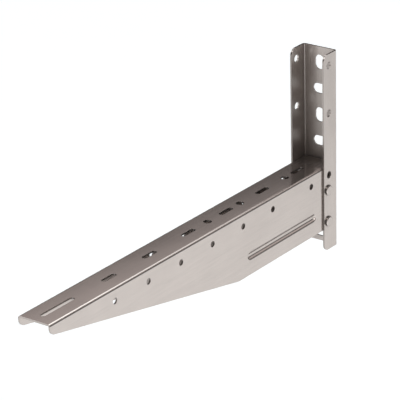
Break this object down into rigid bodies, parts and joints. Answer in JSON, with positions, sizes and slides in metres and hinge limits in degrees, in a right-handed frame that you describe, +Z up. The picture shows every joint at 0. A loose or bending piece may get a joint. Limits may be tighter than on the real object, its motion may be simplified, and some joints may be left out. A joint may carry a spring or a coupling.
{
  "type": "cantilever bracket",
  "caption": "Riveted sheet-metal cantilever bracket: a slotted wall channel holds a tapered, perforated arm that carries cable tray or ducting.",
  "frame": {"origin": "on the wall plane, on the centre line, level with the top of the arm", "axes": "+X from the wall to the tip of the arm, +Y across the arm, +Z up"},
  "size_m": [0.65, 0.0628, 0.3],
  "materials": {
    "channel_sheet": "satin stainless sheet",
    "arm_sheet": "satin stainless sheet",
    "rivet_metal": "satin stainless"
  },
  "bodies": {
    "root": {"wall_channel": "channel_sheet", "arm": "arm_sheet", "rivets": "rivet_metal"}
  },
  "joints": []
}
